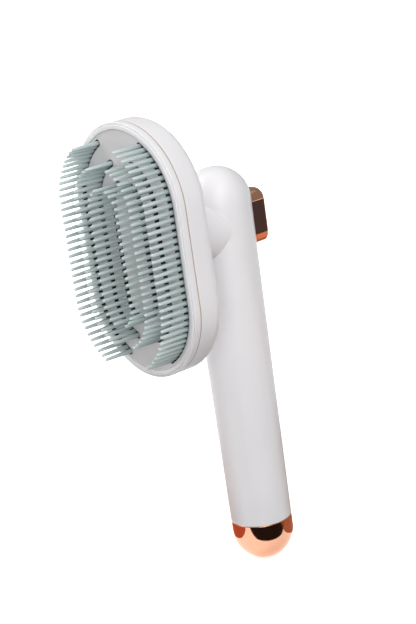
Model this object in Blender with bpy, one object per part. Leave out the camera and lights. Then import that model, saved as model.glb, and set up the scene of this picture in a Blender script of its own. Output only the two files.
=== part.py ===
"""Pet grooming brush: curved comb rows, a hair push-off plate and a rear push button.

Units are metres, +Z runs up the handle, the teeth point to -Y and the button faces +Y.
The origin is the middle of the small flat at the foot of the end cap, on the handle's axis.
The head, the neck and the button share one axis along Y, at the height HEAD_HEIGHT.
Depths are measured forward from the handle's axis, so a depth d lies at y = -d.
"""
import math

import bmesh
import bpy
from mathutils import Vector

MM = 0.001

# Handle, turned about Z
HANDLE_FOOT_RADIUS = 12.4 * MM
HANDLE_TOP_RADIUS = 13.5 * MM
HANDLE_FOOT = 17.5 * MM
DOME_CENTRE = 150.0 * MM
HANDLE_WALL = 2.0 * MM
DOME_STEPS = 6
DOME_POLE_ANGLE = math.radians(86)

# End cap
CAP_WALL = 1.2 * MM
CAP_RIM = 17.2 * MM
CAP_FLAT_RADIUS = 3.0 * MM
CAP_STEPS = 5
PLUG_SPIGOT_RADIUS = 10.1 * MM
PLUG_TOP = 27.0 * MM
PLUG_FLOOR = 14.7 * MM
PLUG_FLOOR_TOP = 16.7 * MM
CAP_POST_RADIUS = 3.2 * MM
CAP_POST_TOP = 14.2 * MM

# Head: a stadium outline, two half circles joined by straight sides
HEAD_HEIGHT = 140.3 * MM
HEAD_HALF_WIDTH = 31.6 * MM
ARC_CENTRE = 18.1 * MM
HEAD_REAR = 29.0 * MM
HEAD_REAR_FILLET = 4.0 * MM
HEAD_FLOOR = 31.2 * MM
SHELL_RIM = 39.45 * MM
SHELL_WALL = 1.2 * MM
TRIM_REAR = 39.75 * MM
TRIM_FRONT = 40.15 * MM
BEZEL_REAR = 40.45 * MM
BEZEL_FRONT = 43.3 * MM
BEZEL_LIP_REAR = 38.0 * MM
OPENING_HALF_WIDTH = 28.8 * MM

# Push-off plate and the retainer that clamps the comb rows
PLATE_HALF_WIDTH = 28.5 * MM
PLATE_REAR = 40.8 * MM
PLATE_FRONT = 42.8 * MM
PLATE_SLOT_HALF = 1.4 * MM
RETAINER_HALF_WIDTH = 29.0 * MM
RETAINER_REAR = 33.3 * MM
RETAINER_FRONT = 35.3 * MM
RETAINER_SLOT_HALF = 1.5 * MM

# Comb rows: name, distance from the middle, number of teeth
COMB_ROWS = (("outer", 26.4 * MM, 36), ("middle", 16.9 * MM, 30), ("inner", 8.4 * MM, 22))
TOOTH_PITCH = 2.64 * MM
TOOTH_ROOT_RADIUS = 1.18 * MM
TOOTH_END_RADIUS = 0.62 * MM
TOOTH_END = 54.4 * MM
TOOTH_TIP = 54.9 * MM
COMB_BASE_REAR = 31.5 * MM
COMB_BASE_FRONT = 33.0 * MM
COMB_BASE_HALF = 1.8 * MM

# Neck, turned about Y
NECK_RADIUS = 12.5 * MM
NECK_BORE = 9.6 * MM
NECK_WALL_REAR = 25.7 * MM
NECK_FRONT = 28.7 * MM
BUSH_HOLE_RADIUS = 5.5 * MM

# Push rod, bush and spring, turned about Y
ROD_RADIUS = 3.0 * MM
ROD_REAR = -10.7 * MM
ROD_GROOVE_RADIUS = 2.4 * MM
ROD_GROOVE = (6.0 * MM, 7.3 * MM)
HUB_RADIUS = 6.0 * MM
HUB_REAR = 38.5 * MM
HUB_FRONT = 40.5 * MM
ROD_HOLE_RADIUS = 4.0 * MM
SPRING_RADIUS = 5.0 * MM
SPRING_WIRE_RADIUS = 0.5 * MM
SPRING_REAR = 8.6 * MM
SPRING_FRONT = 23.1 * MM
SPRING_TURNS = 6
SPRING_STEPS_PER_TURN = 10
SPRING_WIRE_SIDES = 4

# Button
BUTTON_HALF_WIDTH = 7.6 * MM
BUTTON_HALF_HEIGHT = 11.0 * MM
BUTTON_CORNER = 4.7 * MM
BUTTON_REAR = -18.6 * MM
BUTTON_RIM = -7.6 * MM
BUTTON_WALL = 1.0 * MM
BUTTON_SIDE_GAP = 0.4 * MM
CORE_FLANGE_OVERHANG = 1.0 * MM
CORE_FLANGE = (-5.6 * MM, -7.2 * MM)

# Fasteners
SCREW_SHANK = 1.0 * MM
SCREW_HEAD = 2.0 * MM
PILOT_RADIUS = 1.3 * MM
PLATE_SCREW_SHANK = 0.6 * MM
PLATE_SCREW_HEAD = 1.2 * MM
PLATE_SCREW_TIP = 41.7 * MM
PLATE_PILOT_RADIUS = 0.9 * MM
PLATE_PILOT_FLOOR = 42.1 * MM
PLATE_SCREW_CIRCLE = 4.7 * MM
NECK_SCREW_SPOTS = [(x * MM, z * MM) for x in (-4.0, 4.0) for z in (-6.8, 6.8)]
RETAINER_SCREW_SPOTS = [(x * MM, z * MM) for x in (-21.2, 21.2) for z in (-12.0, 12.0)]
RETAINER_POST_RADIUS = 2.2 * MM
POST_PILOT_FLOOR = 30.2 * MM
NECK_SCREW_TIP = 26.4 * MM
RETAINER_SCREW_TIP = 30.6 * MM
BUTTON_SCREW_TIP = -4.5 * MM
CAP_SCREW_LENGTH = 11.0 * MM

GAP = 0.3 * MM
ROUND_STEPS = 40
CAP_ROUND_STEPS = 30
SMALL_STEPS = 14
SCREW_STEPS = 8
SLOT_END_STEPS = 4
BUTTON_CORNER_STEPS = 4
ARC_STEPS = 14
SLOT_ARC_STEPS = 4
SHARP_ANGLE = math.radians(35)


# ---------------------------------------------------------------- outlines

def circle(radius, steps):
    """Points of a circle as (across, up) pairs."""
    angles = [2 * math.pi * step / steps for step in range(steps)]
    return [(radius * math.cos(angle), radius * math.sin(angle)) for angle in angles]


def stadium(half_width):
    """The head's outline at a given half width, counter-clockwise from the right side."""
    points = []
    for start, centre in ((0.0, ARC_CENTRE), (math.pi, -ARC_CENTRE)):
        for step in range(ARC_STEPS + 1):
            angle = start + math.pi * step / ARC_STEPS
            points.append((half_width * math.cos(angle), centre + half_width * math.sin(angle)))
    return points


def button_outline(inset):
    """The button's rounded rectangle, moved inward by inset."""
    corner = BUTTON_CORNER - inset
    across = BUTTON_HALF_WIDTH - BUTTON_CORNER
    up = BUTTON_HALF_HEIGHT - BUTTON_CORNER
    points = []
    for quarter, (side, end) in enumerate(((1, 1), (-1, 1), (-1, -1), (1, -1))):
        for step in range(BUTTON_CORNER_STEPS + 1):
            angle = (quarter + step / BUTTON_CORNER_STEPS) * math.pi / 2
            points.append((side * across + corner * math.cos(angle), end * up + corner * math.sin(angle)))
    return points


def row_point(radius, travel, sideways=0.0):
    """A point on a comb row; travel runs along it from mid height, sideways points outward."""
    over = abs(travel) - ARC_CENTRE
    if over <= 0:
        return radius + sideways, travel
    angle = over / radius
    rise = ARC_CENTRE + (radius + sideways) * math.sin(angle)
    return (radius + sideways) * math.cos(angle), math.copysign(rise, travel)


def row_heading(radius, travel):
    """The angle of a comb row's outward direction at a given travel."""
    over = max(abs(travel) - ARC_CENTRE, 0.0)
    return math.copysign(over / radius, travel)


def slot_outline(radius, half_length, half_width, side):
    """The outline of a curved slot with round ends that a comb row comes through."""
    rest = half_length - ARC_CENTRE
    bend = [ARC_CENTRE + rest * step / SLOT_ARC_STEPS for step in range(SLOT_ARC_STEPS + 1)]
    stops = [-stop for stop in reversed(bend)] + bend
    points = [row_point(radius, stop, half_width) for stop in stops]
    points += slot_end(radius, half_length, half_width, 1)
    points += [row_point(radius, stop, -half_width) for stop in reversed(stops)]
    points += slot_end(radius, half_length, half_width, -1)
    return [(side * x, z) for x, z in points]


def slot_end(radius, half_length, half_width, end):
    """The points strictly inside one round end of a slot."""
    centre_x, centre_z = row_point(radius, end * half_length)
    start = row_heading(radius, end * half_length) + (0.0 if end > 0 else math.pi)
    angles = [start + math.pi * step / SLOT_END_STEPS for step in range(1, SLOT_END_STEPS)]
    return [(centre_x + half_width * math.cos(a), centre_z + half_width * math.sin(a)) for a in angles]


# ---------------------------------------------------------------- solids

def bridge_rings(rings, closed):
    """A bmesh through rings of equal count: its ends are capped, or joined when closed."""
    mesh = bmesh.new()
    loops = [[mesh.verts.new(point) for point in ring] for ring in rings]
    pairs = list(zip(loops, loops[1:]))
    if closed:
        pairs.append((loops[-1], loops[0]))
    else:
        mesh.faces.new(loops[0])
        mesh.faces.new(loops[-1])
    for first, second in pairs:
        for here, there, over, back in zip(first, first[1:] + first[:1], second[1:] + second[:1], second):
            mesh.faces.new((here, there, over, back))
    return mesh


def facing_y(outline, depth):
    """An outline laid across the Y axis at a depth."""
    return [Vector((x, -depth, z)) for x, z in outline]


def facing_z(outline, height):
    """An outline laid across the Z axis at a height."""
    return [Vector((x, y, height)) for x, y in outline]


def new_object(name, mesh, finish, location, parent=None):
    """Turn a bmesh into a smooth-shaded object with its finish and place."""
    bmesh.ops.recalc_face_normals(mesh, faces=mesh.faces)
    data = bpy.data.meshes.new(name)
    mesh.to_mesh(data)
    mesh.free()
    data.shade_smooth()
    data.set_sharp_from_angle(angle=SHARP_ANGLE)
    piece = bpy.data.objects.new(name, data)
    bpy.context.scene.collection.objects.link(piece)
    piece.location = location
    piece.parent = parent
    if finish:
        data.materials.append(finish)
    return piece


def turned_y(name, path, finish, steps=SMALL_STEPS, closed=False, spot=(0.0, 0.0), parent=None):
    """A piece turned about the Y axis from a path of (radius, depth)."""
    rings = [facing_y(circle(radius, steps), depth) for radius, depth in path]
    height = 0.0 if parent else HEAD_HEIGHT
    return new_object(name, bridge_rings(rings, closed), finish, (spot[0], 0.0, height + spot[1]), parent)


def turned_z(name, path, finish, steps=ROUND_STEPS, closed=False):
    """A piece turned about the Z axis from a path of (radius, height)."""
    rings = [facing_z(circle(radius, steps), height) for radius, height in path]
    return new_object(name, bridge_rings(rings, closed), finish, (0.0, 0.0, 0.0))


def stadium_solid(name, path, finish, closed=False, parent=None):
    """A piece of the head from a path of (half width, depth)."""
    rings = [facing_y(stadium(half_width), depth) for half_width, depth in path]
    height = 0.0 if parent else HEAD_HEIGHT
    return new_object(name, bridge_rings(rings, closed), finish, (0.0, 0.0, height), parent)


def button_solid(name, path, finish, parent=None):
    """A piece with the button's outline from a path of (inset, depth)."""
    rings = [facing_y(button_outline(inset), depth) for inset, depth in path]
    height = 0.0 if parent else HEAD_HEIGHT
    return new_object(name, bridge_rings(rings, False), finish, (0.0, 0.0, height), parent)


def separate_bars(name, outlines, low, high):
    """One tool object made of several prisms along Y that don't touch."""
    mesh = bmesh.new()
    for outline in outlines:
        bar = bridge_rings([facing_y(outline, low), facing_y(outline, high)], False)
        data = bpy.data.meshes.new("bar")
        bar.to_mesh(data)
        bar.free()
        mesh.from_mesh(data)
        bpy.data.meshes.remove(data)
    return new_object(name, mesh, None, (0.0, 0.0, HEAD_HEIGHT))


def round_bars(name, spots, radius, low, high):
    """One tool object made of separate round bars along Y at (across, up) spots."""
    outline = circle(radius, SMALL_STEPS)
    outlines = [[(x + spot[0], z + spot[1]) for x, z in outline] for spot in spots]
    return separate_bars(name, outlines, low, high)


def half_space(name, low_y, high_y):
    """A tool box that covers everything between two planes across Y."""
    reach = 40.0 * MM
    rings = []
    for height in (-10.0 * MM, 200.0 * MM):
        corners = ((-reach, low_y), (reach, low_y), (reach, high_y), (-reach, high_y))
        rings.append(facing_z(corners, height))
    return new_object(name, bridge_rings(rings, False), None, (0.0, 0.0, 0.0))


def combine(piece, tool, operation):
    """Join a tool object to a piece or cut it away, and hide the tool."""
    modifier = piece.modifiers.new(tool.name, "BOOLEAN")
    modifier.operation = operation
    modifier.solver = "EXACT"
    modifier.object = tool
    tool.hide_render = True
    tool.display_type = "WIRE"


def cut(piece, tool):
    combine(piece, tool, "DIFFERENCE")


def join(piece, tool):
    combine(piece, tool, "UNION")


# ---------------------------------------------------------------- finishes

def finish(name, colour, roughness, metallic=0.0):
    """A Principled BSDF with a colour, a roughness and a metallic value."""
    material = bpy.data.materials.new(name)
    material.use_nodes = True
    shader = material.node_tree.nodes["Principled BSDF"]
    shader.inputs["Base Color"].default_value = (*colour, 1.0)
    shader.inputs["Roughness"].default_value = roughness
    shader.inputs["Metallic"].default_value = metallic
    return material


def make_finishes():
    return {
        "white": finish("white_plastic", (0.86, 0.86, 0.87), 0.32),
        "inner": finish("inner_plastic", (0.72, 0.72, 0.73), 0.5),
        "plate": finish("plate_plastic", (0.62, 0.60, 0.60), 0.5),
        "comb": finish("comb_plastic", (0.42, 0.56, 0.56), 0.38),
        "trim": finish("trim_ring", (0.55, 0.42, 0.33), 0.45),
        "rose": finish("rose_gold", (0.86, 0.42, 0.29), 0.12, 1.0),
        "steel": finish("steel", (0.55, 0.56, 0.57), 0.3, 1.0),
    }


# ---------------------------------------------------------------- handle

def dome(radius, centre, steps):
    """The upper half of a sphere as (radius, height) pairs, from its equator to near its pole."""
    angles = [DOME_POLE_ANGLE * step / steps for step in range(steps + 1)]
    return [(radius * math.cos(angle), centre + radius * math.sin(angle)) for angle in angles]


def handle_body(name, wall, foot, material):
    """The handle's outer form, or its hollow when given a wall thickness."""
    path = [(HANDLE_FOOT_RADIUS - wall, foot)] + dome(HANDLE_TOP_RADIUS - wall, DOME_CENTRE, DOME_STEPS)
    return turned_z(name, path, material)


def make_handle_shells(finishes):
    """Two half shells that meet at the side seam; the front one carries the neck."""
    hollow = handle_body("handle_hollow", HANDLE_WALL, HANDLE_FOOT - 1.0 * MM, None)

    front = handle_body("handle_front_shell", 0.0, HANDLE_FOOT, finishes["white"])
    neck = turned_y("neck_form", [(NECK_RADIUS, 0.0), (NECK_RADIUS, NECK_FRONT)], None, ROUND_STEPS)
    bore_path = [(NECK_BORE, -6.0 * MM), (NECK_BORE, NECK_WALL_REAR)]
    bore_path += [(BUSH_HOLE_RADIUS, NECK_WALL_REAR), (BUSH_HOLE_RADIUS, NECK_FRONT + 1.0 * MM)]
    bore = turned_y("neck_bore", bore_path, None, ROUND_STEPS)
    low = NECK_WALL_REAR + GAP
    pilots = round_bars("neck_pilots", NECK_SCREW_SPOTS, PILOT_RADIUS, low, NECK_FRONT + MM)
    join(front, neck)
    cut(front, hollow)
    cut(front, bore)
    cut(front, half_space("behind_seam", -GAP / 2, 60.0 * MM))
    cut(front, pilots)

    rear = handle_body("handle_rear_shell", 0.0, HANDLE_FOOT, finishes["white"])
    window_path = [(-BUTTON_SIDE_GAP, -4.0 * MM), (-BUTTON_SIDE_GAP, -25.0 * MM)]
    window = button_solid("button_window", window_path, None)
    cut(rear, hollow)
    cut(rear, half_space("before_seam", -60.0 * MM, GAP / 2))
    cut(rear, window)


def make_end_cap(finishes):
    """The polished foot cap, the plug that holds it in the handle, and their screw."""
    radius = HANDLE_FOOT_RADIUS
    centre = math.sqrt(radius ** 2 - CAP_FLAT_RADIUS ** 2)
    inner = radius - CAP_WALL
    flat_angle = math.asin(centre / radius)
    post_angle = math.acos(CAP_POST_RADIUS / inner)
    down = [flat_angle * step / CAP_STEPS for step in range(CAP_STEPS, -1, -1)]
    outer_path = [(radius * math.cos(a), centre - radius * math.sin(a)) for a in down]
    back = [post_angle * step / CAP_STEPS for step in range(CAP_STEPS + 1)]
    inner_path = [(inner * math.cos(a), centre - inner * math.sin(a)) for a in back]
    post_path = [(CAP_POST_RADIUS, CAP_POST_TOP), (PILOT_RADIUS, CAP_POST_TOP), (PILOT_RADIUS, 4.0 * MM)]
    path = outer_path + [(radius, CAP_RIM), (inner, CAP_RIM)] + inner_path + post_path
    turned_z("end_cap", path, finishes["rose"], CAP_ROUND_STEPS)

    flange = inner - GAP
    bore = PLUG_SPIGOT_RADIUS - 1.5 * MM
    plug_path = [(PILOT_RADIUS, PLUG_FLOOR), (flange, PLUG_FLOOR), (flange, CAP_RIM)]
    plug_path += [(PLUG_SPIGOT_RADIUS, CAP_RIM), (PLUG_SPIGOT_RADIUS, PLUG_TOP), (bore, PLUG_TOP)]
    plug_path += [(bore, PLUG_FLOOR_TOP), (PILOT_RADIUS, PLUG_FLOOR_TOP)]
    turned_z("end_cap_plug", plug_path, finishes["inner"], CAP_ROUND_STEPS, closed=True)

    seat = PLUG_FLOOR_TOP + GAP
    path = screw_path(seat, seat - CAP_SCREW_LENGTH, SCREW_SHANK, SCREW_HEAD)
    turned_z("end_cap_screw", path, finishes["steel"], SCREW_STEPS)


def screw_path(seat, tip, shank, head):
    """A pan head screw as (radius, place) pairs, from the foot of its drive recess to its tip."""
    out = math.copysign(1.0, seat - tip)
    top = seat + out * 0.6 * head
    recess = [(0.3 * head, top - out * 0.3 * head), (0.4 * head, top)]
    rim = [(0.8 * head, top), (head, seat + out * 0.25 * head), (head, seat)]
    return recess + rim + [(shank, seat), (shank, tip + out * shank), (0.3 * shank, tip)]


# ---------------------------------------------------------------- head

def make_head_rear_shell(finishes):
    """The head's open shell with its floor, the retainer's posts and the screw holes."""
    inner = HEAD_HALF_WIDTH - SHELL_WALL
    path = [(inner - 1.0 * MM, HEAD_FLOOR), (inner, HEAD_FLOOR + 1.0 * MM), (inner, SHELL_RIM)]
    path.append((HEAD_HALF_WIDTH, SHELL_RIM))
    for step in range(5):
        angle = math.pi / 2 * step / 4
        inset = HEAD_REAR_FILLET * (1 - math.cos(angle))
        path.append((HEAD_HALF_WIDTH - inset, HEAD_REAR + HEAD_REAR_FILLET * (1 - math.sin(angle))))
    shell = stadium_solid("head_rear_shell", path, finishes["white"])
    post_top = RETAINER_REAR - GAP
    low = HEAD_REAR - MM
    high = HEAD_FLOOR + MM
    join(shell, round_bars("posts", RETAINER_SCREW_SPOTS, RETAINER_POST_RADIUS, HEAD_REAR + MM, post_top))
    cut(shell, round_bars("post_pilots", RETAINER_SCREW_SPOTS, PILOT_RADIUS, POST_PILOT_FLOOR, post_top + MM))
    cut(shell, round_bars("neck_screw_holes", NECK_SCREW_SPOTS, PILOT_RADIUS, low, high))
    cut(shell, round_bars("rod_hole", [(0.0, 0.0)], ROD_HOLE_RADIUS, low, high))


def make_front_rings(finishes):
    """The thin trim ring and the stepped bezel in front of it."""
    inner = HEAD_HALF_WIDTH - SHELL_WALL
    trim_path = [(HEAD_HALF_WIDTH, TRIM_REAR), (HEAD_HALF_WIDTH, TRIM_FRONT)]
    trim_path += [(inner, TRIM_FRONT), (inner, TRIM_REAR)]
    stadium_solid("trim_ring", trim_path, finishes["trim"], closed=True)

    shoulder = HEAD_HALF_WIDTH
    lip = inner - GAP
    bezel_path = [
        (shoulder, BEZEL_REAR),
        (shoulder, BEZEL_FRONT - 0.9 * MM),
        (shoulder - 0.4 * MM, BEZEL_FRONT - 0.5 * MM),
        (shoulder - 0.8 * MM, BEZEL_FRONT - 0.5 * MM),
        (shoulder - 1.0 * MM, BEZEL_FRONT),
        (OPENING_HALF_WIDTH + 0.2 * MM, BEZEL_FRONT),
        (OPENING_HALF_WIDTH, BEZEL_FRONT - 0.2 * MM),
        (OPENING_HALF_WIDTH, BEZEL_LIP_REAR),
        (lip, BEZEL_LIP_REAR),
        (lip, BEZEL_REAR),
    ]
    stadium_solid("bezel_ring", bezel_path, finishes["white"], closed=True)


def comb_slots(name, half_width, low, high):
    """One tool object with a curved slot for every comb row."""
    outlines = []
    for _, radius, count in COMB_ROWS:
        half_length = (count - 1) / 2 * TOOTH_PITCH
        outlines += [slot_outline(radius, half_length, half_width, side) for side in (-1, 1)]
    return separate_bars(name, outlines, low, high)


def plate_screw_spots():
    angles = [math.radians(90 + 120 * turn) for turn in range(3)]
    return [(PLATE_SCREW_CIRCLE * math.cos(a), PLATE_SCREW_CIRCLE * math.sin(a)) for a in angles]


def make_retainer(finishes):
    """The slotted plate that clamps the comb rows to the head's floor."""
    path = [(RETAINER_HALF_WIDTH, RETAINER_REAR), (RETAINER_HALF_WIDTH, RETAINER_FRONT)]
    retainer = stadium_solid("comb_retainer", path, finishes["inner"])
    low = RETAINER_REAR - MM
    high = RETAINER_FRONT + MM
    cut(retainer, comb_slots("retainer_slots", RETAINER_SLOT_HALF, low, high))
    cut(retainer, round_bars("retainer_holes", RETAINER_SCREW_SPOTS, PILOT_RADIUS, low, high))
    cut(retainer, round_bars("retainer_rod_hole", [(0.0, 0.0)], ROD_HOLE_RADIUS, low, high))


def make_plate(finishes, slide):
    """The push-off plate that slides along the teeth."""
    edge = 0.3 * MM
    path = [(PLATE_HALF_WIDTH, PLATE_REAR), (PLATE_HALF_WIDTH, PLATE_FRONT - edge)]
    path.append((PLATE_HALF_WIDTH - edge, PLATE_FRONT))
    plate = stadium_solid("push_off_plate", path, finishes["plate"], parent=slide)
    cut(plate, comb_slots("plate_slots", PLATE_SLOT_HALF, PLATE_REAR - MM, PLATE_FRONT + MM))
    low = PLATE_REAR - MM
    cut(plate, round_bars("plate_pilots", plate_screw_spots(), PLATE_PILOT_RADIUS, low, PLATE_PILOT_FLOOR))


# ---------------------------------------------------------------- comb rows

def base_section(mesh, radius, travel, side):
    """One crossing of a comb base: two corners behind, and two corners and a middle in front."""
    spots = ((-COMB_BASE_HALF, COMB_BASE_REAR), (-COMB_BASE_HALF, COMB_BASE_FRONT), (0.0, COMB_BASE_FRONT))
    spots += ((COMB_BASE_HALF, COMB_BASE_FRONT), (COMB_BASE_HALF, COMB_BASE_REAR))
    verts = []
    for sideways, depth in spots:
        x, z = row_point(radius, travel, sideways)
        verts.append(mesh.verts.new((side * x, -depth, z)))
    return verts


def tooth_ring(mesh, radius, travel, side, size, depth):
    """Six points round a tooth, in the order of the base cell that it grows from."""
    x, z = row_point(radius, travel)
    heading = row_heading(radius, travel)
    verts = []
    for turn in (240, 180, 120, 60, 0, 300):
        angle = heading + math.pi / 2 - math.radians(turn)
        spot = (side * (x + size * math.cos(angle)), -depth, z + size * math.sin(angle))
        verts.append(mesh.verts.new(spot))
    return verts


def skin(mesh, first, second):
    """Quads between two loops of equal count."""
    for here, there, over, back in zip(first, first[1:] + first[:1], second[1:] + second[:1], second):
        mesh.faces.new((here, there, over, back))


def comb_cell(mesh, lower, upper, radius, travel, side):
    """The stretch of comb base that carries one tooth, and the tapered tooth itself."""
    mesh.faces.new((lower[0], upper[0], upper[1], lower[1]))
    mesh.faces.new((lower[3], upper[3], upper[4], lower[4]))
    mesh.faces.new((lower[4], upper[4], upper[0], lower[0]))
    front = [lower[1], lower[2], lower[3], upper[3], upper[2], upper[1]]
    root = tooth_ring(mesh, radius, travel, side, TOOTH_ROOT_RADIUS, COMB_BASE_FRONT)
    end = tooth_ring(mesh, radius, travel, side, TOOTH_END_RADIUS, TOOTH_END)
    skin(mesh, front, root)
    skin(mesh, root, end)
    x, z = row_point(radius, travel)
    tip = mesh.verts.new((side * x, -TOOTH_TIP, z))
    for here, there in zip(end, end[1:] + end[:1]):
        mesh.faces.new((here, there, tip))


def make_comb_row(name, radius, count, side, material):
    """One curved row of teeth on its base strip."""
    mesh = bmesh.new()
    edges = [(step - count / 2) * TOOTH_PITCH for step in range(count + 1)]
    sections = [base_section(mesh, radius, travel, side) for travel in edges]
    mesh.faces.new(sections[0])
    mesh.faces.new(sections[-1])
    for lower, upper, travel in zip(sections, sections[1:], edges):
        comb_cell(mesh, lower, upper, radius, travel + TOOTH_PITCH / 2, side)
    new_object(name, mesh, material, (0.0, 0.0, HEAD_HEIGHT))


def make_comb_rows(finishes):
    for label, radius, count in COMB_ROWS:
        for word, side in (("left", -1), ("right", 1)):
            make_comb_row("comb_" + label + "_" + word, radius, count, side, finishes["comb"])


# ---------------------------------------------------------------- push mechanism

def make_guide_bush(finishes):
    """The flanged bush in the neck that the push rod slides through."""
    bore = ROD_RADIUS + 0.4 * MM
    sleeve = BUSH_HOLE_RADIUS - GAP
    flange = 7.5 * MM
    front = NECK_WALL_REAR - GAP
    rear = SPRING_FRONT + GAP
    path = [(bore, rear), (flange, rear), (flange, front), (sleeve, front)]
    path += [(sleeve, NECK_FRONT - 0.2 * MM), (bore, NECK_FRONT - 0.2 * MM)]
    turned_y("guide_bush", path, finishes["inner"], closed=True)


def make_spring(finishes):
    """The compression spring between the rod's washer and the bush."""
    mesh_rings = []
    steps = SPRING_TURNS * SPRING_STEPS_PER_TURN
    travel = SPRING_FRONT - SPRING_REAR - 2 * SPRING_WIRE_RADIUS
    section = circle(SPRING_WIRE_RADIUS, SPRING_WIRE_SIDES)
    for step in range(steps + 1):
        angle = 2 * math.pi * step / SPRING_STEPS_PER_TURN
        depth = SPRING_REAR + SPRING_WIRE_RADIUS + travel * step / steps
        outward = Vector((math.cos(angle), 0.0, math.sin(angle)))
        centre = SPRING_RADIUS * outward + Vector((0.0, -depth, 0.0))
        mesh_rings.append([centre + across * outward + Vector((0.0, along, 0.0)) for across, along in section])
    new_object("return_spring", bridge_rings(mesh_rings, False), finishes["steel"], (0.0, 0.0, HEAD_HEIGHT))


def make_rod(finishes, slide):
    """The push rod with its clip groove and hub, its washer and its retaining clip."""
    groove_rear, groove_front = ROD_GROOVE
    path = [(PILOT_RADIUS, -3.0 * MM), (PILOT_RADIUS, ROD_REAR), (ROD_RADIUS, ROD_REAR)]
    path += [(ROD_RADIUS, groove_rear), (ROD_GROOVE_RADIUS, groove_rear)]
    path += [(ROD_GROOVE_RADIUS, groove_front), (ROD_RADIUS, groove_front)]
    path += [(ROD_RADIUS, HUB_REAR), (HUB_RADIUS, HUB_REAR), (HUB_RADIUS, HUB_FRONT)]
    rod = turned_y("push_rod", path, finishes["inner"], parent=slide)
    cut(rod, round_bars("hub_holes", plate_screw_spots(), PLATE_PILOT_RADIUS, HUB_REAR - MM, HUB_FRONT + MM))

    washer = (ROD_RADIUS + GAP, 6.6 * MM)
    washer_front = SPRING_REAR - GAP
    washer_rear = washer_front - 0.7 * MM
    washer_path = [(washer[0], washer_rear), (washer[1], washer_rear)]
    washer_path += [(washer[1], washer_front), (washer[0], washer_front)]
    turned_y("spring_washer", washer_path, finishes["steel"], closed=True, parent=slide)
    make_clip(finishes, slide, (groove_rear + groove_front) / 2)


def make_clip(finishes, slide, middle):
    """The open clip that snaps into the rod's groove behind the washer."""
    thickness = 0.6 * MM
    inner, outer = ROD_GROOVE_RADIUS + GAP, 5.0 * MM
    rings = []
    for step in range(21):
        angle = math.radians(-60 + 300 * step / 20)
        outward = Vector((math.cos(angle), 0.0, math.sin(angle)))
        corners = ((inner, middle - thickness / 2), (outer, middle - thickness / 2))
        corners += ((outer, middle + thickness / 2), (inner, middle + thickness / 2))
        rings.append([outward * radius + Vector((0.0, -depth, 0.0)) for radius, depth in corners])
    new_object("retaining_clip", bridge_rings(rings, False), finishes["steel"], (0.0, 0.0, 0.0), slide)


def make_button(finishes, slide):
    """The plated button cap, the core inside it, and the screw that holds the core to the rod."""
    bevel = 1.5 * MM
    inner_rear = BUTTON_REAR + BUTTON_WALL
    cap_path = [(BUTTON_WALL + 0.8 * MM, inner_rear), (BUTTON_WALL, inner_rear + 0.5 * MM)]
    cap_path += [(BUTTON_WALL, BUTTON_RIM), (0.0, BUTTON_RIM)]
    for step in range(4):
        angle = math.pi / 2 * step / 3
        cap_path.append((bevel * (1 - math.cos(angle)), BUTTON_REAR + bevel * (1 - math.sin(angle))))
    button_solid("button_cap", cap_path, finishes["rose"], slide)

    core_inset = BUTTON_WALL + GAP
    core_rear = inner_rear + GAP
    flange_front, flange_rear = CORE_FLANGE
    core_path = [(-CORE_FLANGE_OVERHANG, flange_front), (-CORE_FLANGE_OVERHANG, flange_rear)]
    edge = 0.6 * MM
    core_path += [(core_inset, flange_rear), (core_inset, core_rear + edge), (core_inset + edge, core_rear)]
    core = button_solid("button_core", core_path, finishes["inner"], slide)
    socket = ROD_REAR - GAP
    seat = socket - 2.5 * MM
    hole_path = [(ROD_RADIUS + GAP, -4.0 * MM), (ROD_RADIUS + GAP, socket), (PILOT_RADIUS, socket)]
    hole_path += [(PILOT_RADIUS, seat), (SCREW_HEAD + GAP, seat), (SCREW_HEAD + GAP, core_rear - 2.0 * MM)]
    cut(core, turned_y("core_hole", hole_path, None))
    path = screw_path(seat - GAP, BUTTON_SCREW_TIP, SCREW_SHANK, SCREW_HEAD)
    turned_y("button_screw", path, finishes["steel"], SCREW_STEPS, parent=slide)


def make_screws(finishes, slide):
    """The neck screws, the retainer's screws and the plate's small screws."""
    neck_path = screw_path(HEAD_FLOOR + GAP, NECK_SCREW_TIP, SCREW_SHANK, SCREW_HEAD)
    for number, spot in enumerate(NECK_SCREW_SPOTS, 1):
        turned_y(f"neck_screw_{number}", neck_path, finishes["steel"], SCREW_STEPS, spot=spot)
    retainer_path = screw_path(RETAINER_FRONT + GAP, RETAINER_SCREW_TIP, SCREW_SHANK, SCREW_HEAD)
    for number, spot in enumerate(RETAINER_SCREW_SPOTS, 1):
        turned_y(f"retainer_screw_{number}", retainer_path, finishes["steel"], SCREW_STEPS, spot=spot)
    plate_path = screw_path(HUB_REAR - GAP, PLATE_SCREW_TIP, PLATE_SCREW_SHANK, PLATE_SCREW_HEAD)
    for number, spot in enumerate(plate_screw_spots(), 1):
        turned_y(f"plate_screw_{number}", plate_path, finishes["steel"], SCREW_STEPS, spot=spot, parent=slide)


def clear_scene():
    for thing in list(bpy.data.objects):
        bpy.data.objects.remove(thing, do_unlink=True)


def make_slide():
    """The empty on the push axis that every moving piece hangs from."""
    slide = bpy.data.objects.new("button_slide", None)
    bpy.context.scene.collection.objects.link(slide)
    slide.location = (0.0, 0.0, HEAD_HEIGHT)
    return slide


def main():
    clear_scene()
    finishes = make_finishes()
    slide = make_slide()
    make_handle_shells(finishes)
    make_end_cap(finishes)
    make_head_rear_shell(finishes)
    make_front_rings(finishes)
    make_retainer(finishes)
    make_plate(finishes, slide)
    make_comb_rows(finishes)
    make_guide_bush(finishes)
    make_spring(finishes)
    make_rod(finishes, slide)
    make_button(finishes, slide)
    make_screws(finishes, slide)
    bpy.context.view_layer.update()


main()
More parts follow.
